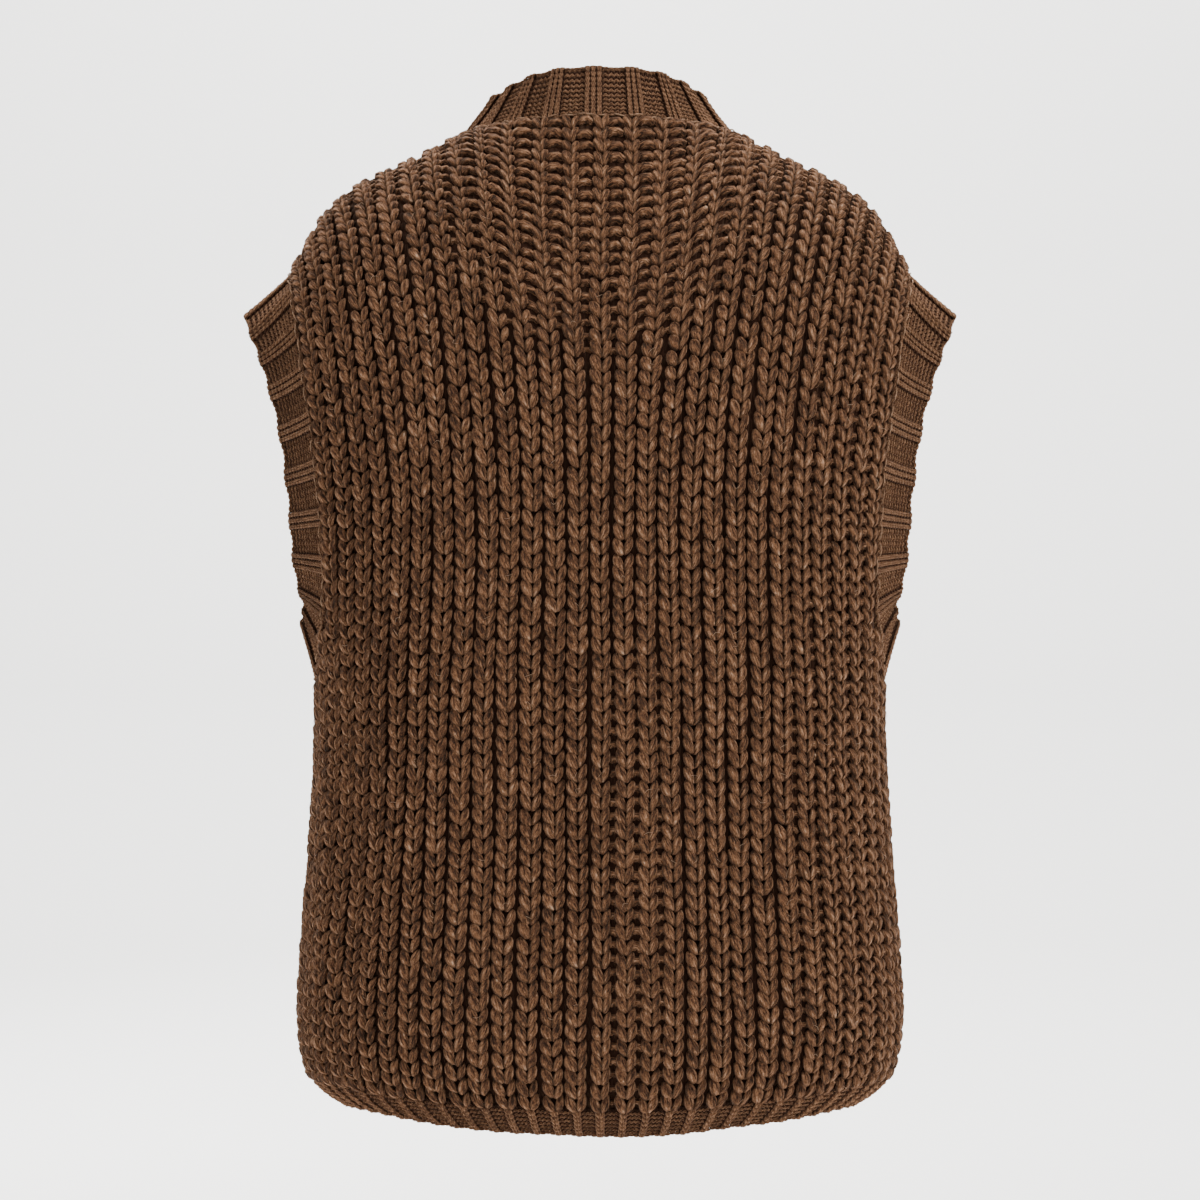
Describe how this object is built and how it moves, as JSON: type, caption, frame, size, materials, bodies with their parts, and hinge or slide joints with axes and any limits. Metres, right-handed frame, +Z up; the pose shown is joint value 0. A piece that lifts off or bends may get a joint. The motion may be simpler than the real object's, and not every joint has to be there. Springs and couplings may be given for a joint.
{
  "type": "knitted sweater vest, worn and hollow with no wearer",
  "caption": "Chunky half-cardigan knit sleeveless vest with ribbed crew neckband, wide armhole bands and a drawn-in hem rib, in its worn hollow form.",
  "frame": {"origin": "midway between the two neck points of the shoulder seams, where the wearer's shoulders hold the vest up", "axes": "+Z up, the front faces -Y, the back faces +Y, and +X is the wearer's left"},
  "size_m": [0.3992, 0.2313, 0.5831],
  "materials": {
    "chunky_yarn": "matte woolly brown yarn, half-cardigan stitch",
    "rib_yarn": "matte woolly brown yarn, fine rib"
  },
  "bodies": {
    "root": {"back": "chunky_yarn", "front": "chunky_yarn", "neckband": "rib_yarn", "armhole_band_left": "rib_yarn", "armhole_band_right": "rib_yarn", "hem_rib_back": "rib_yarn", "hem_rib_front": "rib_yarn"}
  },
  "joints": []
}
